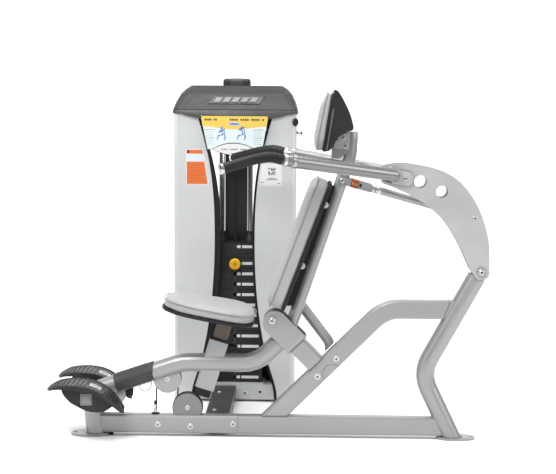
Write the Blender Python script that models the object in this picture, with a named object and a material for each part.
"""Shoulder press machine with a tilting user carriage and a pin-selected weight stack.

Metres, +Z up.  The machine's long axis is X and its frame lies in the plane Y = 0.  The user faces -X,
the weight tower stands at +Y.  The origin is the centre of the underside of the front foot plate.
"""

import math

import bmesh
import bpy
from mathutils import Matrix, Vector

# ---------------------------------------------------------------- driving dimensions
GAP = 0.0003                      # clearance between pieces that touch

TUBE_R = 0.0381                   # 3 inch round tube
WALL = 0.003
BEAM_H, BEAM_W = 0.0762, 0.0508   # 3 x 2 inch rectangular tube
BEAM_Z0 = 0.014                   # underside of the base beam
BEAM_Z1 = BEAM_Z0 + BEAM_H

FOOT_LENGTH, FOOT_WIDTH, FOOT_T = 0.160, 0.095, 0.0095
REAR_FOOT_X = 1.508

ARCH_CORNER_X, ARCH_Z = 1.209, 0.537
ARCH_BEND_R = 0.150

CARRIAGE_PIVOT = Vector((0.751, 0.0, 0.491))
ARM_PIVOT = Vector((1.594, 0.0, 0.697))
LINK_FRONT = Vector((1.028, 0.0, 1.063))
LINK_REAR = Vector((1.562, 0.0, 0.916))

PLATE_T = 0.006                   # side plates of the clevis and of the arms
PLATE_Y = 0.042                   # inner face of those plates
AXLE_R = 0.0127
BORE_SEGMENTS = 20

PULLEY_R = 0.046                  # at the bottom of the cable groove
PULLEY_W = 0.020
CABLE_R = 0.003
CABLE_WRAP_R = PULLEY_R + CABLE_R + 0.0016
CHEEK_Y0, CHEEK_Y1 = 0.0125, 0.0165
PULLEY_PIN_R = 0.006
CARRIAGE_PULLEY = Vector((0.321, 0.0, 0.238))
BEAM_PULLEY = Vector((0.404, 0.0, 0.120))

CARRIAGE_Z = 0.307                # level run of the carriage tube
CARRIAGE_SLOPE = math.radians(18.7)
BACK_LEAN = math.radians(18.5)
BACK_R = 0.0254

SEAT_LEAN = math.radians(16.7)
SEAT_SLEEVE_TOP = Vector((0.535, 0.0, 0.4045))
SEAT_TILT = math.radians(10.3)

PEDAL_Y = 0.130
PEDAL_W = 0.160

TOWER_X, TOWER_HALF = 0.565, 0.2745
TOWER_Y0, TOWER_Y1 = 0.600, 0.860
TOWER_TOP = 1.322
STACK_Y = 0.715
STACK_Z0 = 0.086
PLATE_PITCH = 0.0478
STACK_COUNT = 12
STACK_HALF_X, STACK_HALF_Y = 0.125, 0.055
ROD_X, ROD_R = 0.064, 0.0127
SELECTOR_R = 0.010

ARM_R = 0.0254
GRIP_R = 0.0205


# ---------------------------------------------------------------- materials
def finish(name, colour, roughness, metallic):
    mat = bpy.data.materials.new(name)
    mat.use_nodes = True
    shader = mat.node_tree.nodes["Principled BSDF"]
    shader.inputs["Base Color"].default_value = (*colour, 1.0)
    shader.inputs["Roughness"].default_value = roughness
    shader.inputs["Metallic"].default_value = metallic
    return mat


FINISHES = {
    "frame_paint": ((0.52, 0.53, 0.53), 0.38, 0.55),
    "panel_paint": ((0.56, 0.57, 0.57), 0.42, 0.45),
    "dark_paint": ((0.05, 0.05, 0.055), 0.50, 0.20),
    "stack_black": ((0.02, 0.02, 0.022), 0.55, 0.30),
    "chrome": ((0.80, 0.80, 0.80), 0.12, 1.00),
    "charcoal_plastic": ((0.05, 0.05, 0.055), 0.55, 0.00),
    "black_rubber": ((0.025, 0.025, 0.027), 0.75, 0.00),
    "pad_vinyl": ((0.62, 0.63, 0.61), 0.55, 0.00),
    "yellow_plastic": ((0.85, 0.55, 0.05), 0.35, 0.00),
    "orange_urethane": ((0.75, 0.22, 0.03), 0.45, 0.00),
    "placard_white": ((0.80, 0.82, 0.82), 0.40, 0.00),
    "cable_black": ((0.02, 0.02, 0.02), 0.45, 0.00),
    "bare_steel": ((0.42, 0.39, 0.36), 0.35, 0.90),
}
MATERIALS = {}


# ---------------------------------------------------------------- mesh helpers
def circle(radius, segments, turn=0.5):
    """A closed ring of (u, v) points; turn = 0.5 puts a flat at the top."""
    step = 2 * math.pi / segments
    return [(radius * math.cos((i + turn) * step), radius * math.sin((i + turn) * step)) for i in range(segments)]


def rounded_rect(width, height, radius, corner_steps=3):
    points = []
    for quarter, (sx, sy) in enumerate(((1, 1), (-1, 1), (-1, -1), (1, -1))):
        cx, cy = sx * (width / 2 - radius), sy * (height / 2 - radius)
        for step in range(corner_steps + 1):
            angle = math.radians(90 * quarter + 90 * step / corner_steps)
            points.append((cx + radius * math.cos(angle), cy + radius * math.sin(angle)))
    return points


def arc(cx, cz, radius, start, end, steps):
    """Points on a circle in the XZ plane; angles in degrees, anticlockwise seen from -Y."""
    angles = [math.radians(start + (end - start) * i / steps) for i in range(steps + 1)]
    return [(cx + radius * math.cos(a), cz + radius * math.sin(a)) for a in angles]


def spline(points, steps):
    """Catmull-Rom curve through the given points."""
    out = []
    last = len(points) - 1
    for i in range(last):
        p0, p1, p2, p3 = (Vector(points[max(0, min(last, i + k))]) for k in (-1, 0, 1, 2))
        for s in range(steps):
            t = s / steps
            out.append(tuple(0.5 * (2 * p1 + (p2 - p0) * t + (2 * p0 - 5 * p1 + 4 * p2 - p3) * t * t
                                    + (3 * p1 - p0 - 3 * p2 + p3) * t ** 3)))
    out.append(tuple(points[last]))
    return out


def fillet_path(points, radius, steps):
    """A polyline with its inner corners rounded to the given centreline radius."""
    points = [Vector(p) for p in points]
    path = [points[0]]
    for before, corner, after in zip(points, points[1:], points[2:]):
        back, ahead = (before - corner).normalized(), (after - corner).normalized()
        half = back.angle(ahead) / 2
        reach = radius / math.tan(half)
        centre = corner + (back + ahead).normalized() * radius / math.sin(half)
        first, last = corner + back * reach - centre, corner + ahead * reach - centre
        path += [centre + first.lerp(last, i / steps).normalized() * radius for i in range(steps + 1)]
    return path + [points[-1]]


def ring_frames(path):
    """(origin, side, up) at each path point, square to the path and mitred at its corners."""
    frames = []
    up_hint = Vector((0, 1, 0))
    for i, point in enumerate(path):
        ahead = (path[min(i + 1, len(path) - 1)] - path[max(i - 1, 0)]).normalized()
        up = (up_hint - ahead * up_hint.dot(ahead)).normalized()
        frames.append((point, ahead.cross(up), up))
    return frames


def add_ring(bm, section, frame):
    origin, side, up = frame
    return [bm.verts.new(origin + side * u + up * v) for u, v in section]


def bridge(bm, first, second):
    count = len(first)
    for i in range(count):
        bm.faces.new((first[i], first[(i + 1) % count], second[(i + 1) % count], second[i]))


def swept(path, outer, inner=None):
    """A bar, or with an inner section an open-ended tube, along the path."""
    return tube_between(ring_frames(path), outer, inner)


def tube_between(frames, outer, inner=None):
    bm = bmesh.new()
    rings = [add_ring(bm, outer, frame) for frame in frames]
    for first, second in zip(rings, rings[1:]):
        bridge(bm, first, second)
    if inner:
        bores = [add_ring(bm, inner, frame) for frame in frames]
        for first, second in zip(bores, bores[1:]):
            bridge(bm, second, first)
        bridge(bm, bores[0], rings[0])
        bridge(bm, rings[-1], bores[-1])
    else:
        bm.faces.new(rings[0])
        bm.faces.new(reversed(rings[-1]))
    bmesh.ops.recalc_face_normals(bm, faces=bm.faces)
    return bm


def trimmed(bm, point, normal):
    """Cuts away the part of an open-ended tube on the normal's side and closes the wall there."""
    geometry = bm.verts[:] + bm.edges[:] + bm.faces[:]
    cut = bmesh.ops.bisect_plane(bm, geom=geometry, plane_co=point, plane_no=normal, clear_outer=True)
    edges = [item for item in cut["geom_cut"] if isinstance(item, bmesh.types.BMEdge)]
    bmesh.ops.bridge_loops(bm, edges=edges)
    bmesh.ops.recalc_face_normals(bm, faces=bm.faces)
    return bm


def round_tube(points, radius, bend=0.1, steps=4, segments=20, wall=WALL):
    path = fillet_path(points, bend, steps)
    inner = circle(radius - wall, segments) if wall else None
    return swept(path, circle(radius, segments), inner)


def rect_tube(points, in_plane, across, bend=0.1, steps=4, wall=WALL, corner=0.008):
    path = fillet_path(points, bend, steps)
    inner = rounded_rect(in_plane - 2 * wall, across - 2 * wall, corner - wall, 2) if wall else None
    return swept(path, rounded_rect(in_plane, across, corner, 2), inner)


def prism(outline, y0, y1):
    """An XZ outline extruded along Y."""
    bm = bmesh.new()
    near = [bm.verts.new((x, y0, z)) for x, z in outline]
    far = [bm.verts.new((x, y1, z)) for x, z in outline]
    bm.faces.new(near)
    bm.faces.new(reversed(far))
    bridge(bm, near, far)
    bmesh.ops.recalc_face_normals(bm, faces=bm.faces)
    return bm


def block(low, high):
    bm = bmesh.new()
    bmesh.ops.create_cube(bm, size=1.0)
    low, high = Vector(low), Vector(high)
    size, middle = high - low, (high + low) / 2
    bm.transform(Matrix.Translation(middle) @ Matrix.Diagonal((*size, 1.0)))
    return bm


def rod(start, end, radius, segments=BORE_SEGMENTS):
    start, end = Vector(start), Vector(end)
    return swept_straight([start, end], [radius, radius], segments)


def swept_straight(points, radii, segments):
    """A solid of revolution given as points on its axis and the radius at each."""
    bm = bmesh.new()
    axis = (points[-1] - points[0]).normalized()
    hint = Vector((0, 0, 1)) if abs(axis.z) < 0.9 else Vector((0, 1, 0))
    side = axis.cross(hint).normalized()
    up = side.cross(axis)
    rings = [add_ring(bm, circle(radius, segments), (point, side, up)) for point, radius in zip(points, radii)]
    for first, second in zip(rings, rings[1:]):
        bridge(bm, first, second)
    bm.faces.new(rings[0])
    bm.faces.new(reversed(rings[-1]))
    bmesh.ops.recalc_face_normals(bm, faces=bm.faces)
    return bm


def bore_radius(shaft_radius, clearance=0.0001):
    """Radius of a faceted bore whose flats clear a faceted shaft at any angle."""
    return (shaft_radius + clearance) / math.cos(math.pi / BORE_SEGMENTS)


def along_y(centre, half, radius, segments=BORE_SEGMENTS):
    offset = Vector((0, half, 0))
    return rod(centre - offset, centre + offset, radius, segments)


# ---------------------------------------------------------------- objects
def make_object(name, bm, pivot=(0, 0, 0), material=None):
    pivot = Vector(pivot)
    bmesh.ops.translate(bm, verts=bm.verts, vec=-pivot)
    mesh = bpy.data.meshes.new(name)
    bm.to_mesh(mesh)
    bm.free()
    obj = bpy.data.objects.new(name, mesh)
    obj.location = pivot
    bpy.context.scene.collection.objects.link(obj)
    if material:
        mesh.materials.append(MATERIALS[material])
    mesh.shade_smooth()
    mesh.set_sharp_from_angle(angle=math.radians(32))
    return obj


def combine(obj, bm, operation):
    """Joins or cuts with a helper shape that is left out of the model."""
    tool = make_object(f"{obj.name}_{operation.lower()}_{len(obj.modifiers)}", bm)
    tool.hide_render = True
    tool.display_type = "WIRE"
    modifier = obj.modifiers.new(operation.title(), "BOOLEAN")
    modifier.operation = operation
    modifier.object = tool
    modifier.solver = "EXACT"


def node(name, material, shape, join=(), cut=(), add=(), pivot=(0, 0, 0)):
    """One sub-part: a shape, what is joined to it, what is cut from that, and what is added last."""
    obj = make_object(name, shape, pivot, material)
    for operation, extras in (("UNION", join), ("DIFFERENCE", cut), ("UNION", add)):
        for extra in extras:
            combine(obj, extra, operation)


# ---------------------------------------------------------------- main frame
def foot_plate_outline(segments=28):
    step = 2 * math.pi / segments
    return [(FOOT_LENGTH / 2 * math.cos(i * step), FOOT_WIDTH / 2 * math.sin(i * step)) for i in range(segments)]


def foot_plate(x, length_bolt=0.060):
    """(plate, bolt hole cutters) of an oval foot standing on the floor."""
    bm = bmesh.new()
    low = [bm.verts.new((x + u, v, 0)) for u, v in foot_plate_outline()]
    high = [bm.verts.new((x + u, v, FOOT_T)) for u, v in foot_plate_outline()]
    bm.faces.new(low)
    bm.faces.new(reversed(high))
    bridge(bm, low, high)
    bmesh.ops.recalc_face_normals(bm, faces=bm.faces)
    holes = [rod((x + side * length_bolt, 0, -0.01), (x + side * length_bolt, 0, 0.02), 0.0065, 12)
             for side in (-1, 1)]
    return bm, holes


UPRIGHT_AXIS = [Vector((1.5049, 0, -0.022)), Vector((1.362, 0, 0.272)), Vector((1.5815, 0, 0.674))]
POST_AXIS = [Vector((0.0291, 0, -0.022)), Vector((0.0121, 0, 0.116))]
POST_R = 0.0395
IN_FOOT_PLATE = Vector((0, 0, 0.004))


def upright_tube(radius, wall=WALL):
    return round_tube(UPRIGHT_AXIS, radius, bend=0.14, steps=5, wall=wall)


def build_front_foot():
    plate, holes = foot_plate(0.0)
    post = trimmed(round_tube(POST_AXIS, POST_R), IN_FOOT_PLATE, (0, 0, -1))
    node("front_foot", "frame_paint", plate, join=[post], cut=holes)


def build_rear_upright():
    plate, holes = foot_plate(REAR_FOOT_X)
    tube = trimmed(upright_tube(TUBE_R), IN_FOOT_PLATE, (0, 0, -1))
    housing = along_y(ARM_PIVOT, PLATE_Y - 0.0015, 0.034)
    bore = along_y(ARM_PIVOT, 0.06, bore_radius(AXLE_R))
    node("rear_upright", "frame_paint", tube, join=[plate, housing], cut=holes + [bore])


def build_base_beam():
    z = BEAM_Z0 + BEAM_H / 2
    shape = rect_tube([(0.034, 0, z), (1.470, 0, z)], BEAM_H, BEAM_W)
    slot = block((BEAM_PULLEY.x - 0.056, -0.0118, BEAM_Z1 - 0.010),
                 (BEAM_PULLEY.x + 0.056, 0.0118, BEAM_Z1 + 0.010))
    post = rod(*POST_AXIS, POST_R + GAP)
    upright = upright_tube(TUBE_R + GAP, wall=0)
    x = CARRIAGE_PULLEY.x - CABLE_WRAP_R
    zs = [BEAM_Z1 - 0.002, BEAM_Z1 + 0.005, BEAM_Z1 + 0.005, BEAM_Z1 + 0.0137]
    anchor = swept_straight([Vector((x, 0, z)) for z in zs], [0.011, 0.011, 0.0065, 0.0065], 12)
    node("base_beam", "frame_paint", shape, join=[anchor], cut=[slot, post, upright])


def arch_path(start_drop=0.0):
    run = ARCH_Z - BEAM_Z1 - start_drop
    return [(ARCH_CORNER_X - run, 0, ARCH_Z - run), (ARCH_CORNER_X, 0, ARCH_Z), (1.495, 0, ARCH_Z)]


def build_arch_beam():
    shape = rect_tube(arch_path(-0.06), BEAM_H, BEAM_W, bend=ARCH_BEND_R, steps=5)
    below = block((0.4, -0.1, -0.1), (1.2, 0.1, BEAM_Z1 + GAP))
    upright = upright_tube(TUBE_R + GAP, wall=0)
    node("arch_beam", "frame_paint", shape, cut=[below, upright])


# The pivot post lies on a 45 degree line; p runs down along it, q square to it, both from this point.
POST_REF = Vector((0.865, 0.0, 0.3745))
DIAGONAL = math.sqrt(0.5)


def post_point(p, q):
    return Vector((POST_REF.x + (p + q) * DIAGONAL, 0, POST_REF.z + (q - p) * DIAGONAL))


CLEVIS_END_P = -0.015             # outer face of the clevis's back web
CLEVIS_Q = (-0.047, 0.053)


def build_pivot_post():
    ends = [post_point(CLEVIS_END_P + GAP, 0), post_point(0.12, 0)]
    shape = rect_tube(ends, BEAM_H, BEAM_H - 0.002, corner=0.008)
    arch = rect_tube(arch_path(-0.06), BEAM_H + 2 * GAP, 0.2, bend=ARCH_BEND_R, steps=5, wall=0)
    node("pivot_post", "frame_paint", shape, cut=[arch])


def clevis_outline(end_p, q0, q1):
    mid, radius = (q0 + q1) / 2, (q1 - q0) / 2
    left = -0.197 + radius
    points = [(end_p, q0), (end_p, q1)]
    for i in range(13):
        angle = math.radians(90 + 15 * i)
        points.append((left + radius * math.cos(angle), mid + radius * math.sin(angle)))
    return [(post_point(p, q).x, post_point(p, q).z) for p, q in points]


def build_pivot_clevis():
    outer = prism(clevis_outline(CLEVIS_END_P, *CLEVIS_Q), -PLATE_Y - PLATE_T, PLATE_Y + PLATE_T)
    inner = prism(clevis_outline(CLEVIS_END_P - PLATE_T, CLEVIS_Q[0] - 0.05, CLEVIS_Q[1] + 0.05),
                  -PLATE_Y, PLATE_Y)
    for bm, radius, end_p in ((outer, 0.018, CLEVIS_END_P), (inner, 0.012, CLEVIS_END_P - PLATE_T)):
        end = post_point(end_p, 0)
        along = Vector((DIAGONAL, 0, -DIAGONAL))
        bends = [e for e in bm.edges if all(abs((v.co - end).dot(along)) < 1e-5 for v in e.verts)
                 and abs(e.verts[0].co.y - e.verts[1].co.y) < 1e-5]
        bmesh.ops.bevel(bm, geom=bends, offset=radius, segments=4, affect="EDGES", profile=0.5)
    far = block((0.6, -PLATE_Y, 0.45), (0.76, PLATE_Y, 0.6))
    bore = along_y(CARRIAGE_PIVOT, 0.1, AXLE_R + GAP)
    node("pivot_clevis", "frame_paint", outer, cut=[inner, far, bore])


def bolt_shape(centre, half, radius, head_r, head_t):
    """A shaft along Y with a round head at each end."""
    ys = [-half - head_t, -half, -half, half, half, half + head_t]
    radii = [head_r, head_r, radius, radius, head_r, head_r]
    return swept_straight([centre + Vector((0, y, 0)) for y in ys], radii, BORE_SEGMENTS)


def build_carriage_axle():
    shape = bolt_shape(CARRIAGE_PIVOT, PLATE_Y + PLATE_T + GAP, AXLE_R, 0.019, 0.007)
    node("carriage_axle", "bare_steel", shape, pivot=CARRIAGE_PIVOT)


def build_brace_tube():
    y = 0.056
    path = [(0.857, y, 0.556), (0.986, y, 0.388), (0.990, y, 0.320)]
    shape = round_tube(path, 0.021, bend=0.05, steps=3, segments=16, wall=0)
    arch = rect_tube(arch_path(-0.06), BEAM_H + 2 * GAP, 0.4, bend=ARCH_BEND_R, steps=5, wall=0)
    node("brace_tube", "frame_paint", shape, cut=[arch])


def build_tower_connector():
    x0, x1 = 0.472, 0.572
    outer = block((x0, BEAM_W / 2 + GAP, 0.018), (x1, TOWER_Y0 + 0.034, 0.0745))
    inner = block((x0 + 0.005, 0, 0), (x1 - 0.005, 0.7, 0.0695))
    node("tower_connector", "dark_paint", outer, cut=[inner])


# ---------------------------------------------------------------- weight tower
def build_tower_base():
    low, high = TOWER_X - TOWER_HALF + 0.006, TOWER_X + TOWER_HALF - 0.006
    y0 = TOWER_Y0 + 0.035
    cross = block((low, y0, 0.010), (high, y0 + 0.050, 0.0805))
    rear = block((low, TOWER_Y1 - 0.060, 0.010), (high, TOWER_Y1 - 0.010, 0.0805))
    sides = [block((x - 0.030, y0 + 0.02, 0.010), (x + 0.030, TOWER_Y1 - 0.02, 0.0805))
             for x in (low + 0.030, high - 0.030)]
    shelf = block((TOWER_X - 0.135, y0 + 0.004, 0.0605), (TOWER_X + 0.135, TOWER_Y1 - 0.02, STACK_Z0 - 0.001))
    feet = [rod((x, y, 0), (x, y, 0.030), 0.022, 16)
            for x in (low + 0.040, high - 0.040) for y in (y0 + 0.025, TOWER_Y1 - 0.035)]
    rods = [rod((TOWER_X + side * ROD_X, STACK_Y, 0.05), (TOWER_X + side * ROD_X, STACK_Y, 0.2),
                ROD_R + GAP, 12) for side in (-1, 1)]
    stem = rod((TOWER_X, STACK_Y, 0.0), (TOWER_X, STACK_Y, 0.2), SELECTOR_R + 0.004, 12)
    spine = block((TOWER_X - 0.0545, SPINE_Y0 - GAP, STACK_Z0 - 0.003),
                  (TOWER_X + 0.0545, SPINE_Y1 + GAP, 0.3))
    node("tower_base", "panel_paint", cross, join=[rear, *sides, shelf, *feet], cut=[*rods, stem, spine])


SPINE_Y0, SPINE_Y1 = 0.790, 0.850
SPINE_TOP = 1.470
TOP_PULLEY = Vector((TOWER_X, STACK_Y + CABLE_WRAP_R, 1.330))


def build_tower_spine():
    x0, x1 = TOWER_X - 0.054, TOWER_X + 0.054
    outer = block((x0, SPINE_Y0, STACK_Z0 - 0.0027), (x1, SPINE_Y1, SPINE_TOP))
    hollow = block((x0 + 0.004, SPINE_Y0 + 0.004, 0), (x1 - 0.004, SPINE_Y1 - 0.004, SPINE_TOP - 0.006))
    head = block((x0, SPINE_Y0 + 0.001, 1.375), (x1, SPINE_Y1 - 0.001, SPINE_TOP - 0.001))
    cheeks = [block((TOWER_X + s * 0.0145 - 0.002, TOP_PULLEY.y - 0.020, 1.300),
                    (TOWER_X + s * 0.0145 + 0.002, SPINE_Y0 + 0.002, 1.360)) for s in (-1, 1)]
    pin = rod(TOP_PULLEY + Vector((-0.0155, 0, 0)), TOP_PULLEY + Vector((0.0155, 0, 0)), PULLEY_PIN_R)
    pocket = block((TOWER_X - 0.0118, SPINE_Y0 - 0.01, 1.275), (TOWER_X + 0.0118, SPINE_Y0 + 0.030, 1.385))
    node("tower_spine", "dark_paint", outer, join=[head, *cheeks, pin], cut=[hollow, pocket])


def panel_edge(side):
    """Inner edge of a front panel: it bows towards the middle at half height."""
    half_widths = [(0.196, 0.012), (0.190, 0.075), (0.142, 0.240), (0.110, 0.430), (0.0945, 0.620),
                   (0.092, 0.800), (0.099, 0.960), (0.119, 1.110), (0.157, 1.264), (0.176, TOWER_TOP + 0.02)]
    return [(TOWER_X + side * half, z) for half, z in spline(half_widths, 2)]


def build_panel(name, side):
    """A sheet bent round the front corner, with its front edge cut to the bowed outline."""
    t, corner = 0.003, 0.022
    outer_x = TOWER_X + side * TOWER_HALF
    front_end = TOWER_X + side * 0.085
    back_end = outer_x - side * 0.070
    centre_x = outer_x - side * corner
    outside = [(back_end, TOWER_Y1), (outer_x, TOWER_Y1)]
    inside = [(back_end, TOWER_Y1 - t), (outer_x - side * t, TOWER_Y1 - t)]
    for i in range(5):
        a = math.radians(90 * i / 4)
        outside.append((centre_x + side * corner * math.cos(a), TOWER_Y0 + corner - corner * math.sin(a)))
        inside.append((centre_x + side * (corner - t) * math.cos(a),
                       TOWER_Y0 + corner - (corner - t) * math.sin(a)))
    outside.append((front_end, TOWER_Y0))
    inside.append((front_end, TOWER_Y0 + t))
    plan = outside + inside[::-1]
    bm = bmesh.new()
    low = [bm.verts.new((x, y, 0.012)) for x, y in plan]
    high = [bm.verts.new((x, y, TOWER_TOP)) for x, y in plan]
    bridge(bm, low, high)
    for ring, order in ((low, 1), (high, -1)):
        half = len(outside)
        for i in range(half - 1):
            quad = (ring[i], ring[i + 1], ring[2 * half - 2 - i], ring[2 * half - 1 - i])
            bm.faces.new(quad[::order])
    bmesh.ops.recalc_face_normals(bm, faces=bm.faces)
    middle = TOWER_X + side * 0.04
    edge = panel_edge(side)
    cutter = [(middle, edge[0][1] - 0.02), (edge[0][0], edge[0][1] - 0.02), *edge, (middle, edge[-1][1])]
    node(name, "panel_paint", bm, cut=[prism(cutter, TOWER_Y0 - 0.02, TOWER_Y0 + 0.02)])


def build_panels():
    build_panel("tower_left_panel", -1)
    build_panel("tower_right_panel", 1)


def cap_ring(level):
    """Plan outline of the top cap at one level: (half width, front Y, bow of the front, corner radius, Z)."""
    half, front, bow, corner, z = level
    points = []
    back = TOWER_Y1 + 0.006
    for i in range(4):
        a = math.radians(30 * i)
        points.append((half - corner + corner * math.sin(a), front + corner - corner * math.cos(a)))
    points += [(half, (front + back) / 2), (half, back - 0.004), (half - 0.004, back)]
    right = points
    left = [(-x, y) for x, y in reversed(right)]
    bowed = [(x, y - bow * (1 - (x / half) ** 2)) for x, y in right + left]
    front_mid = [(-half * f, front - bow * (1 - f * f)) for f in (0.66, 0.33, 0.0, -0.33, -0.66)]
    return [(TOWER_X + x, y, z) for x, y in bowed + front_mid]


CAP_LEVELS = [
    (0.2785, TOWER_Y0 - 0.005, 0.012, 0.022, 1.270), (0.2795, TOWER_Y0 - 0.006, 0.012, 0.022, 1.323),
    (0.2785, TOWER_Y0 - 0.004, 0.012, 0.026, 1.335), (0.270, TOWER_Y0 + 0.034, 0.014, 0.034, 1.364),
    (0.252, TOWER_Y0 + 0.084, 0.014, 0.038, 1.402), (0.232, TOWER_Y0 + 0.124, 0.012, 0.036, 1.424),
    (0.209, TOWER_Y0 + 0.156, 0.010, 0.030, 1.440)]


def loft(rings):
    bm = bmesh.new()
    loops = [[bm.verts.new(p) for p in ring] for ring in rings]
    for first, second in zip(loops, loops[1:]):
        bridge(bm, first, second)
    bm.faces.new(loops[0])
    bm.faces.new(reversed(loops[-1]))
    bmesh.ops.recalc_face_normals(bm, faces=bm.faces)
    return bm


def build_top_cap():
    wall = 0.003
    outer = loft([cap_ring(level) for level in CAP_LEVELS])
    inside = [(half - wall, front + wall, bow, corner, z - (wall if i == len(CAP_LEVELS) - 1 else 0))
              for i, (half, front, bow, corner, z) in enumerate(CAP_LEVELS)]
    inside[0] = (*inside[0][:4], CAP_LEVELS[0][4] - 0.02)
    hollow = loft([[(x, min(y, TOWER_Y1 + 0.002), z) for x, y, z in cap_ring(level)] for level in inside])
    spine = block((TOWER_X - 0.055, SPINE_Y0 - 0.001, 1.2), (TOWER_X + 0.055, SPINE_Y1 + 0.001, 1.5))
    lip = [(TOWER_X + x, z) for x, z in spline([(-0.300, 1.314), (-0.245, 1.314), (0.0, 1.276), (0.245, 1.314),
                                                (0.300, 1.314)], 3)]
    below = prism([(TOWER_X - 0.300, 1.2), *lip, (TOWER_X + 0.300, 1.2)], TOWER_Y0 - 0.05, TOWER_Y1 + 0.05)
    node("tower_top_cap", "charcoal_plastic", outer, cut=[hollow, spine, below])


PLACARD_Y = TOWER_Y0 - 0.0225


def build_placard():
    """A sheet held off the cap's lip on two studs, with a lens-shaped tongue at its lower edge."""
    tongue = [(x, z) for x, z in spline([(0.4665, 1.158), (0.514, 1.140), (0.5605, 1.134), (0.607, 1.140),
                                         (0.6545, 1.158)], 3)]
    outline = [(0.443, 1.156), *tongue, (0.689, 1.160), (0.7135, 1.307), (0.4135, 1.307)]
    studs = [rod((TOWER_X + side * 0.100, PLACARD_Y + 0.003, 1.296),
                 (TOWER_X + side * 0.100, TOWER_Y0 - 0.0165, 1.296), 0.006, 12) for side in (-1, 1)]
    node("placard", "placard_white", prism(outline, PLACARD_Y, PLACARD_Y + 0.004), join=studs)


def build_guide_rods():
    for name, side in (("left_guide_rod", -1), ("right_guide_rod", 1)):
        x = TOWER_X + side * ROD_X
        node(name, "chrome", rod((x, STACK_Y, 0.052), (x, STACK_Y, 1.280), ROD_R, 12))


def stack_holes(z0, z1):
    holes = [rod((TOWER_X + side * ROD_X, STACK_Y, z0), (TOWER_X + side * ROD_X, STACK_Y, z1),
                 ROD_R + 0.0016, 12) for side in (-1, 1)]
    return holes


def plate_z(index):
    """Underside of plate number index, counted from the top of the stack."""
    return STACK_Z0 + (STACK_COUNT - index) * PLATE_PITCH


def build_weight_plates():
    for index in range(1, STACK_COUNT + 1):
        z0 = plate_z(index)
        z1 = z0 + PLATE_PITCH - 0.0014
        shape = block((TOWER_X - STACK_HALF_X, STACK_Y - STACK_HALF_Y, z0),
                      (TOWER_X + STACK_HALF_X, STACK_Y + STACK_HALF_Y, z1))
        stem = rod((TOWER_X, STACK_Y, z0 - 0.01), (TOWER_X, STACK_Y, z1 + 0.01), SELECTOR_R + 0.0014, 10)
        mid = (z0 + z1) / 2
        selector = rod((TOWER_X, STACK_Y - 0.08, mid), (TOWER_X, STACK_Y + 0.012, mid), 0.0062, 8)
        node(f"weight_plate_{index:02d}", "stack_black", shape, cut=stack_holes(z0 - 0.01, z1 + 0.01)
             + [stem, selector])


HEAD_Z0 = STACK_Z0 + STACK_COUNT * PLATE_PITCH
HEAD_Z1 = HEAD_Z0 + 0.070


def build_head_plate():
    body = block((TOWER_X - STACK_HALF_X, STACK_Y - STACK_HALF_Y, HEAD_Z0),
                 (TOWER_X + STACK_HALF_X, STACK_Y + STACK_HALF_Y, HEAD_Z1))
    stem = rod((TOWER_X, STACK_Y, STACK_Z0 + 0.010), (TOWER_X, STACK_Y, HEAD_Z0 + 0.01), SELECTOR_R, 10)
    top = swept_straight([Vector((TOWER_X, STACK_Y, z)) for z in
                          (HEAD_Z1 - 0.004, HEAD_Z1 + 0.016, HEAD_Z1 + 0.016, HEAD_Z1 + 0.042)],
                         [0.011, 0.011, 0.0065, 0.0065], 12)
    cones = [swept_straight([Vector((TOWER_X + side * ROD_X, STACK_Y, z)) for z in
                             (HEAD_Z1 - 0.002, HEAD_Z1 + 0.010, HEAD_Z1 + 0.040)],
                            [0.030, 0.028, 0.017], 16) for side in (-1, 1)]
    pin_z = plate_z(1) + PLATE_PITCH / 2
    pin_hole = rod((TOWER_X, STACK_Y - 0.03, pin_z), (TOWER_X, STACK_Y + 0.03, pin_z), 0.0062, 8)
    node("head_plate", "stack_black", body, join=[stem, top, *cones],
         cut=stack_holes(HEAD_Z0 - 0.01, HEAD_Z1 + 0.06) + [pin_hole])


def build_selector_pin():
    z = plate_z(1) + (PLATE_PITCH - 0.0014) / 2
    face = STACK_Y - STACK_HALF_Y
    ys = [face - 0.040, face - 0.034, face - 0.012, face - 0.002, face - 0.002, STACK_Y + 0.010]
    radii = [0.0200, 0.0255, 0.0255, 0.0160, 0.0048, 0.0048]
    shape = swept_straight([Vector((TOWER_X, y, z)) for y in ys], radii, 16)
    node("selector_pin", "yellow_plastic", shape, pivot=(TOWER_X, face, z))


def build_lift_cable():
    start = Vector((TOWER_X, STACK_Y, HEAD_Z1 + 0.0423))
    wrap = []
    for i in range(7):
        a = math.radians(180 - 20 * i)
        wrap.append(TOP_PULLEY + Vector((0, CABLE_WRAP_R * math.cos(a), CABLE_WRAP_R * math.sin(a))))
    path = [start, *wrap]
    bm = bmesh.new()
    rings = []
    for i, point in enumerate(path):
        ahead = (path[min(i + 1, len(path) - 1)] - path[max(i - 1, 0)]).normalized()
        side = Vector((1, 0, 0))
        rings.append(add_ring(bm, circle(CABLE_R, 6), (point, side, side.cross(ahead))))
    for first, second in zip(rings, rings[1:]):
        bridge(bm, first, second)
    bm.faces.new(rings[0])
    bm.faces.new(reversed(rings[-1]))
    bmesh.ops.recalc_face_normals(bm, faces=bm.faces)
    node("lift_cable", "cable_black", bm)


def pulley_wheel(centre, axis):
    half = Vector(axis) * PULLEY_W / 2
    groove = Vector(axis) * 0.004
    points = [centre - half, centre - groove, centre + groove, centre + half]
    rim = PULLEY_R + 0.006
    wheel = swept_straight(points, [rim, PULLEY_R, PULLEY_R, rim], 24)
    return wheel, rod(centre - half * 2, centre + half * 2, bore_radius(PULLEY_PIN_R))


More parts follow.
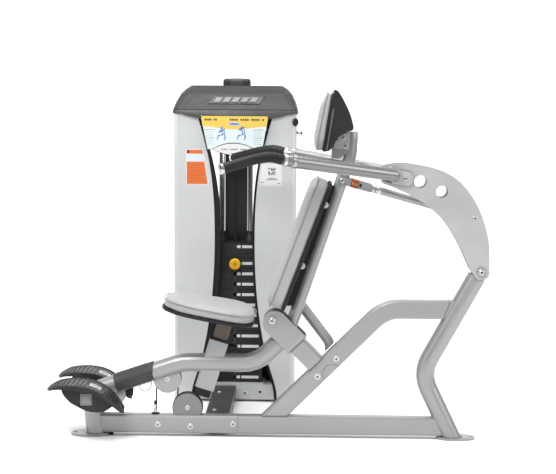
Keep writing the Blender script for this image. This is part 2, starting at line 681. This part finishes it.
def build_pulleys():
    for name, centre, axis in (("carriage_pulley", CARRIAGE_PULLEY, (0, 1, 0)),
                               ("beam_pulley", BEAM_PULLEY, (0, 1, 0)), ("top_pulley", TOP_PULLEY, (1, 0, 0))):
        wheel, bore = pulley_wheel(centre, axis)
        node(name, "black_rubber", wheel, cut=[bore], pivot=centre)


def build_beam_pulley_cheeks():
    """Two half-round guards standing on the beam, joined by the pulley pin."""
    radius = 0.060
    floor = BEAM_Z1 + GAP
    dip = math.degrees(math.asin((BEAM_PULLEY.z - floor) / radius))
    outline = arc(BEAM_PULLEY.x, BEAM_PULLEY.z, radius, -dip, 180 + dip, 22)
    cheeks = [prism(outline, s * CHEEK_Y0, s * CHEEK_Y1) for s in (-1, 1)]
    pin = along_y(BEAM_PULLEY, CHEEK_Y1 - 0.001, PULLEY_PIN_R)
    node("beam_pulley_guard", "frame_paint", cheeks[0], join=[pin, cheeks[1]])


def build_pull_cable():
    """From the anchor up over the carriage pulley, down and under the beam pulley."""
    up_x = CARRIAGE_PULLEY.x - CABLE_WRAP_R
    path = [Vector((up_x, 0, BEAM_Z1 + 0.014))]
    path += [CARRIAGE_PULLEY + Vector((CABLE_WRAP_R * math.cos(a), 0, CABLE_WRAP_R * math.sin(a)))
             for a in (math.radians(180 - 15 * i) for i in range(13))]
    path += [BEAM_PULLEY + Vector((CABLE_WRAP_R * math.cos(a), 0, CABLE_WRAP_R * math.sin(a)))
             for a in (math.radians(188 + 20 * i) for i in range(5))]
    node("pull_cable", "cable_black", swept(path, circle(CABLE_R, 6)))


def build_towel_peg():
    x = TOWER_X + TOWER_HALF + GAP
    xs = [x, x + 0.020, x + 0.020, x + 0.026]
    shape = swept_straight([Vector((px, 0.650, 1.232)) for px in xs], [0.008, 0.008, 0.017, 0.017], 16)
    node("towel_peg", "chrome", shape)


# ---------------------------------------------------------------- user carriage
def level_corner_x():
    """Where the level run of the carriage tube meets the 45 degree rise."""
    top = post_point(-0.076, 0)
    return top.x - (top.z - CARRIAGE_Z)


SLOPE_CORNER_X = 0.383
TUBE_END_X = 0.036


def carriage_points():
    drop = (SLOPE_CORNER_X - TUBE_END_X) * math.tan(CARRIAGE_SLOPE)
    return [Vector((TUBE_END_X, 0, CARRIAGE_Z - drop)), Vector((SLOPE_CORNER_X, 0, CARRIAGE_Z)),
            Vector((level_corner_x(), 0, CARRIAGE_Z)), post_point(-0.076, -0.030)]


def seat_axis(distance):
    return SEAT_SLEEVE_TOP - Vector((math.sin(SEAT_LEAN), 0, math.cos(SEAT_LEAN))) * distance


SLEEVE_IN_PLANE, SLEEVE_ACROSS, SLEEVE_WALL = 0.080, 0.050, 0.005
SLEEVE_LENGTH = 0.213


def pedal_tube_centre():
    return Vector((0.0104, 0, 0.1847))


def build_carriage_tube():
    points = carriage_points()
    path = fillet_path(points[:3], 0.17, 2)[:-1] + fillet_path(points[1:], 0.15, 4)[1:]
    shape = swept(path, circle(TUBE_R, 20), circle(TUBE_R - WALL, 20))
    end_cap = rod(post_point(-0.076, -0.036), post_point(-0.076, -0.0305), TUBE_R - 0.001)
    hub = along_y(CARRIAGE_PIVOT, PLATE_Y - 0.0015, 0.029)
    ears = [prism([(post_point(p, q).x, post_point(p, q).z) for p, q in
                   ((-0.178, -0.018), (-0.076, -0.045), (-0.046, -0.045), (-0.046, -0.020), (-0.080, 0.056),
                    (-0.150, 0.050), (-0.184, 0.014))], s * 0.0262, s * 0.0312) for s in (-1, 1)]
    guard = along_y(CARRIAGE_PULLEY, CHEEK_Y1, 0.0575, 24)
    pocket = along_y(CARRIAGE_PULLEY, 0.0118, 0.0545, 24)
    below = block((CARRIAGE_PULLEY.x - 0.07, -0.0118, 0.10),
                  (CARRIAGE_PULLEY.x + 0.07, 0.0118, CARRIAGE_PULLEY.z))
    pin = along_y(CARRIAGE_PULLEY, CHEEK_Y1 - 0.001, PULLEY_PIN_R)
    bore = along_y(CARRIAGE_PIVOT, 0.1, bore_radius(AXLE_R))
    sleeve = rect_tube([seat_axis(-0.01), seat_axis(SLEEVE_LENGTH + 0.01)], SLEEVE_IN_PLANE + 2 * GAP,
                       SLEEVE_ACROSS + 2 * GAP, wall=0, corner=0.006)
    centre = pedal_tube_centre()
    cross = block(centre - Vector((0.0253, 0.2, 0.0253)), centre + Vector((0.0253, 0.2, 0.0253)))
    node("carriage_tube", "frame_paint", shape, join=[end_cap, hub, *ears, guard],
         cut=[pocket, below, bore, sleeve, cross], add=[pin], pivot=CARRIAGE_PIVOT)


def build_step_sleeve():
    """Rubber tread round the upper three quarters of the tube's sloping run."""
    segments = 18
    section = []
    for radius, order in ((TUBE_R + 0.0045, 1), (TUBE_R + 3 * GAP, -1)):
        angles = [math.radians(-132 + 264 * i / segments) for i in range(segments + 1)]
        section += [(radius * math.cos(a), radius * math.sin(a)) for a in angles][::order]
    slope = math.tan(CARRIAGE_SLOPE)
    path = [Vector((x, 0, CARRIAGE_Z - (SLOPE_CORNER_X - x) * slope)) for x in (0.110, 0.262)]
    frames = ring_frames(path)
    frames[1] = (path[1], Vector((0, 0, 1 / math.cos(CARRIAGE_SLOPE))), Vector((0, 1, 0)))
    bm = bmesh.new()
    rings = [add_ring(bm, section, frame) for frame in frames]
    bridge(bm, *rings)
    last = 2 * segments + 1
    for ring in rings:
        for i in range(segments):
            bm.faces.new((ring[i], ring[i + 1], ring[last - i - 1], ring[last - i]))
    bmesh.ops.recalc_face_normals(bm, faces=bm.faces)
    node("step_sleeve", "black_rubber", bm, pivot=CARRIAGE_PIVOT)


def build_pedal_cross_tube():
    centre = pedal_tube_centre()
    ends = [centre - Vector((0, PEDAL_Y + 0.046, 0)), centre + Vector((0, PEDAL_Y + 0.046, 0))]
    section = [rounded_rect(side, side, corner, 2) for side, corner in ((0.050, 0.006), (0.044, 0.003))]
    frames = [(end, Vector((1, 0, 0)), Vector((0, 0, 1))) for end in ends]
    node("pedal_cross_tube", "frame_paint", tube_between(frames, *section), pivot=CARRIAGE_PIVOT)


PEDAL_TOP = [(-0.151, 0.220), (-0.119, 0.2365), (-0.0845, 0.2435), (-0.036, 0.2453), (0.013, 0.2400),
             (0.045, 0.2296), (0.077, 0.2121), (0.109, 0.1862), (0.135, 0.1590), (0.157, 0.1310)]
PEDAL_UNDER = [(-0.084, 0.2248), (-0.077, 0.2058), (-0.052, 0.1772), (-0.020, 0.1584), (0.008, 0.1457),
               (0.040, 0.1385), (0.076, 0.1385), (0.098, 0.1490), (0.119, 0.1640)]


def pedal_tread(y):
    """A thin curved slab, rounded at both ends in plan."""
    profile = spline(PEDAL_TOP, 2)
    bm = bmesh.new()
    rings = []
    for i, (x, z) in enumerate(profile):
        place = abs(2 * i / (len(profile) - 1) - 1)
        half = PEDAL_W / 2 * (1 - 0.985 * place ** 3.2) ** 0.5
        thick = 0.017 - 0.009 * place ** 2
        rings.append([bm.verts.new(p) for p in ((x, y - half, z), (x, y + half, z),
                                                (x, y + half, z - thick), (x, y - half, z - thick))])
    for first, second in zip(rings, rings[1:]):
        bridge(bm, first, second)
    bm.faces.new(rings[0])
    bm.faces.new(reversed(rings[-1]))
    bmesh.ops.recalc_face_normals(bm, faces=bm.faces)
    return bm


def build_pedals():
    keel = spline(PEDAL_UNDER, 2) + [(0.112, 0.176), (0.060, 0.2150), (-0.020, 0.2370), (-0.082, 0.2360)]
    centre = pedal_tube_centre()
    hole = [(centre.x + sx * 0.0254, centre.z + sz * 0.0254) for sx, sz in ((-1, -1), (1, -1), (1, 1), (-1, 1))]
    for name, side in (("left_foot_pedal", -1), ("right_foot_pedal", 1)):
        y = side * PEDAL_Y
        body = prism(keel, y - 0.058, y + 0.058)
        node(name, "charcoal_plastic", pedal_tread(y), join=[body], cut=[prism(hole, y - 0.1, y + 0.1)],
             pivot=CARRIAGE_PIVOT)


def build_seat_sleeve():
    shape = rect_tube([seat_axis(0), seat_axis(SLEEVE_LENGTH)], SLEEVE_IN_PLANE, SLEEVE_ACROSS,
                      wall=SLEEVE_WALL, corner=0.006)
    node("seat_sleeve", "frame_paint", shape, pivot=CARRIAGE_PIVOT)


def back_axis_x(z):
    return LINK_FRONT.x - (LINK_FRONT.z - z) * math.tan(BACK_LEAN)


def build_back_tube():
    corner = post_point(-0.076, 0)
    meet_z = (corner.z - corner.x + back_axis_x(0)) / (1 - math.tan(BACK_LEAN))
    points = [post_point(-0.076, -0.0297), (back_axis_x(meet_z), 0, meet_z), (back_axis_x(1.165), 0, 1.165),
              (back_axis_x(1.165) + 0.004, 0, 1.238)]
    path = fillet_path(points[:3], 0.11, 3)[:-1] + fillet_path(points[1:], 0.12, 2)[1:]
    shape = swept(path, circle(BACK_R, 16), circle(BACK_R - WALL, 16))
    bracket = [prism([(0.985, 1.150), (0.985, 1.215), (1.030, 1.238), (1.068, 1.232), (1.066, 1.190),
                      (1.020, 1.150)], s * 0.020, s * 0.0245) for s in (-1, 1)]
    strap = block((0.9865, -0.0245, 1.150), (0.9915, 0.0245, 1.215))
    pin = bolt_shape(LINK_FRONT, 0.0365, 0.008, 0.0145, 0.006)
    node("back_tube", "frame_paint", shape, join=[*bracket, strap, pin], pivot=CARRIAGE_PIVOT)


HEAD_LEAN = math.radians(9.0)
HEAD_PAD_LOW = Vector((0.903, 0, 1.186))
HEAD_THICK = 0.050


def pad_block(corner_low, lean, length, thickness, half_width, edge):
    """A pad on the back rest: a rounded slab leaning back by the given angle."""
    bm = block((0, -half_width, 0), (thickness, half_width, length))
    bmesh.ops.bevel(bm, geom=bm.edges[:], offset=edge, segments=2, affect="EDGES", profile=0.5)
    bm.transform(Matrix.Translation(Vector(corner_low)) @ Matrix.Rotation(lean, 4, "Y"))
    return bm


def build_pads():
    lower = pad_block((0.717, 0, 0.564), math.radians(20.3), 0.556, 0.086, 0.145, 0.020)
    node("back_pad", "pad_vinyl", lower, pivot=CARRIAGE_PIVOT)
    upper = pad_block(HEAD_PAD_LOW, HEAD_LEAN, 0.240, HEAD_THICK, 0.135, 0.018)
    node("head_pad", "pad_vinyl", upper, pivot=CARRIAGE_PIVOT)


def build_back_hood():
    """Moulded cover behind the upper pad, hollow below over the tube's top."""
    lean = math.tan(HEAD_LEAN)
    pad_back = HEAD_PAD_LOW.x + HEAD_THICK / math.cos(HEAD_LEAN) + 2 * GAP

    def on_pad(z):
        return pad_back + (z - HEAD_PAD_LOW.z) * lean, z

    outline = [on_pad(1.181), (0.968, 1.184), (0.981, 1.194), (1.000, 1.228), (1.019, 1.248), (1.042, 1.262),
               (1.068, 1.270), (1.063, 1.300), (1.051, 1.337), (1.029, 1.382), (1.008, 1.416), on_pad(1.424)]
    pocket = block((0.96, -0.034, 1.10), (1.09, 0.034, 1.275))
    node("back_hood", "charcoal_plastic", prism(outline, -0.115, 0.115), cut=[pocket], pivot=CARRIAGE_PIVOT)


def build_seat():
    down = -Vector((math.sin(SEAT_LEAN), 0, math.cos(SEAT_LEAN)))
    top, bottom = SEAT_SLEEVE_TOP - down * 0.083, SEAT_SLEEVE_TOP + down * 0.245
    post = rect_tube([top, bottom], 0.062, 0.036, wall=0.003, corner=0.005)
    tilt = Matrix.Translation((0.560, 0, 0.487)) @ Matrix.Rotation(SEAT_TILT, 4, "Y")
    plate = block((-0.115, -0.075, -0.004), (0.105, 0.075, 0.004))
    plate.transform(tilt)
    node("seat_post", "bare_steel", post, join=[plate], pivot=top)
    pad = block((-0.270, -0.180, 0.0045), (0.126, 0.180, 0.0665))
    uprights = [e for e in pad.edges if abs(e.verts[0].co.z - e.verts[1].co.z) > 0.01]
    bmesh.ops.bevel(pad, geom=uprights, offset=0.085, segments=5, affect="EDGES", profile=0.5)
    pad.transform(tilt)
    node("seat_pad", "pad_vinyl", pad, pivot=top)


def build_seat_knob():
    """Spring plunger on the sleeve's rear wall."""
    out = Vector((math.cos(SEAT_LEAN), 0, -math.sin(SEAT_LEAN)))
    base = seat_axis(0.016) + out * (SLEEVE_IN_PLANE / 2 + GAP)
    distances = [0.0, 0.008, 0.008, 0.014, 0.034, 0.040]
    radii = [0.007, 0.007, 0.011, 0.0135, 0.0135, 0.009]
    shape = swept_straight([base + out * d for d in distances], radii, 14)
    node("seat_lock_knob", "black_rubber", shape, pivot=base)


# ---------------------------------------------------------------- press arms
def arm_plate_outline():
    outer = spline([(1.191, 1.122), (1.258, 1.133), (1.345, 1.124), (1.439, 1.100), (1.506, 1.058),
                    (1.557, 0.994), (1.590, 0.929), (1.612, 0.863), (1.624, 0.795), (1.626, 0.697)], 2)
    foot = arc(ARM_PIVOT.x, ARM_PIVOT.z, 0.032, -10, -170, 7)
    inner = spline([(1.548, 0.709), (1.512, 0.788), (1.478, 0.849), (1.436, 0.907), (1.377, 0.960),
                    (1.315, 1.000), (1.240, 1.036), (1.189, 1.054)], 2)
    return outer + foot[:-1] + inner


ARM_BOLT = Vector((1.283, 0, 1.074))


def build_arm_plates():
    holes = [(1.343, 1.061, 0.0258), (1.430, 1.021, 0.0250)]
    for name, side in (("left_arm_plate", -1), ("right_arm_plate", 1)):
        shape = prism(arm_plate_outline(), side * PLATE_Y, side * (PLATE_Y + PLATE_T))
        cutters = [along_y(Vector((x, 0, z)), 0.1, r, 20) for x, z, r in holes]
        cutters.append(along_y(ARM_PIVOT, 0.1, AXLE_R + GAP))
        cutters.append(along_y(ARM_BOLT, 0.1, 0.0062, 12))
        spacers = []
        if side < 0:
            far = PLATE_Y - GAP
            spacers = [rod(LINK_REAR - Vector((0, PLATE_Y + 0.002, 0)), LINK_REAR + Vector((0, far, 0)), 0.008),
                       rod((1.222, -PLATE_Y - 0.002, 1.092), (1.222, far, 1.092), 0.016)]
        node(name, "frame_paint", shape, join=spacers, cut=cutters, pivot=ARM_PIVOT)


def build_arm_axle():
    shape = bolt_shape(ARM_PIVOT, PLATE_Y + PLATE_T + GAP, AXLE_R, 0.020, 0.007)
    node("arm_axle", "bare_steel", shape, pivot=ARM_PIVOT)


ARM_REAR = Vector((1.240, 0.0750, 1.0887))
ARM_FRONT = Vector((0.837, 0.290, 1.151))
GRIP_POINTS = [(0.793, 0.304, 1.1575), (0.744, 0.318, 1.1690), (0.676, 0.345, 1.1580), (0.577, 0.397, 1.1300)]


def mirrored(vector, side):
    return Vector((vector[0], side * vector[1], vector[2]))


def build_arm_tubes():
    for name, side in (("left_arm_tube", -1), ("right_arm_tube", 1)):
        rear, front = mirrored(ARM_REAR, side), mirrored(ARM_FRONT, side)
        collar = mirrored(GRIP_POINTS[0], side)
        shape = round_tube([rear, front], ARM_R)
        neck_end = front + (collar - front) * 0.97
        neck = rod(front - (collar - front) * 0.3, neck_end, 0.0225, 20)
        tip = [front + (collar - front) * 0.9] + [mirrored(p, side) for p in GRIP_POINTS]
        core = swept(tip, circle(0.0120, 10))
        face = side * (PLATE_Y + PLATE_T + GAP)
        tongue_top = [(1.190, 1.117), (1.262, 1.108)]
        tongue = tongue_top + arc(ARM_BOLT.x, ARM_BOLT.z, 0.030, 70, -75, 6) + [(1.230, 1.052), (1.190, 1.066)]
        plate = prism(tongue, face, face + side * 0.012)
        plane = [block((1.0, min(face, face - side), 0.9), (1.4, max(face, face - side), 1.3))]
        node(name, "frame_paint", shape, join=[neck, core, plate], cut=plane, pivot=ARM_PIVOT)


def build_grips():
    for name, side in (("left_grip", -1), ("right_grip", 1)):
        points = [mirrored(p, side) for p in GRIP_POINTS]
        first = points[0] + (points[1] - points[0]) * 0.05
        path = [first] + [Vector(p) for p in spline([first, *points[1:]], 3)[1:-1]]
        path.append(points[-1] + (points[-1] - points[-2]).normalized() * 0.012)
        inner = swept([points[0] * 2 - points[1], *points[1:-1], points[-1] + (points[-1] - points[-2]) * 0.004],
                      circle(0.0126, 10))
        node(name, "black_rubber", swept(path, circle(GRIP_R, 16)), cut=[inner], pivot=ARM_PIVOT)


# ---------------------------------------------------------------- link rod
def build_link():
    axis = (LINK_REAR - LINK_FRONT).normalized()
    up = Vector((-axis.z, 0, axis.x))

    def at(along, above):
        point = LINK_FRONT + axis * along + up * above
        return point.x, point.z

    fork_profile = [at(0.0, 0.016)]
    fork_profile += [at(0.016 * math.cos(math.radians(a)), 0.016 * math.sin(math.radians(a)))
                     for a in range(120, 271, 30)]
    fork_profile += [at(0.120, -0.016), at(0.128, -0.010), at(0.128, 0.010), at(0.120, 0.016)]
    fork = [prism(fork_profile, s * 0.0270, s * 0.0320) for s in (-1, 1)]
    web = prism([at(0.084, 0.0155), at(0.084, -0.0155), at(0.1275, -0.0095), at(0.1275, 0.0095)], -0.0315, 0.0315)
    tube = rod(LINK_FRONT + axis * 0.100, LINK_REAR - axis * 0.020, 0.0150, 20)
    eye = along_y(LINK_REAR, 0.020, 0.0235)
    cutters = [along_y(LINK_FRONT, 0.1, bore_radius(0.008)), along_y(LINK_REAR, 0.1, 0.0142)]
    node("link_rod", "frame_paint", tube, join=[web, *fork, eye], cut=cutters, pivot=LINK_FRONT)

    bush = prism([at(0.0375, 0.0165), at(0.0375, -0.0165), at(0.068, -0.0165), at(0.068, 0.0165)], -0.0375, 0.0375)
    slots = [prism([at(0.0, 0.0163), at(0.0, -0.0163), at(0.1, -0.0163), at(0.1, 0.0163)],
                   s * 0.0267, s * 0.0323) for s in (-1, 1)]
    node("link_bush", "orange_urethane", bush, cut=slots, pivot=LINK_FRONT)


# ---------------------------------------------------------------- build
def main():
    for obj in list(bpy.data.objects):
        bpy.data.objects.remove(obj, do_unlink=True)
    for name, values in FINISHES.items():
        MATERIALS[name] = finish(name, *values)
    for build in (build_front_foot, build_rear_upright, build_base_beam, build_arch_beam, build_pivot_post,
                  build_pivot_clevis, build_carriage_axle, build_brace_tube, build_tower_connector,
                  build_tower_base, build_tower_spine, build_panels, build_top_cap, build_placard, build_guide_rods,
                  build_weight_plates, build_head_plate, build_selector_pin, build_lift_cable, build_pulleys,
                  build_beam_pulley_cheeks, build_pull_cable, build_towel_peg,
                  build_carriage_tube, build_step_sleeve, build_pedal_cross_tube, build_pedals,
                  build_seat_sleeve, build_back_tube, build_pads, build_back_hood, build_seat, build_seat_knob,
                  build_arm_plates, build_arm_axle, build_arm_tubes, build_grips, build_link):
        build()


main()
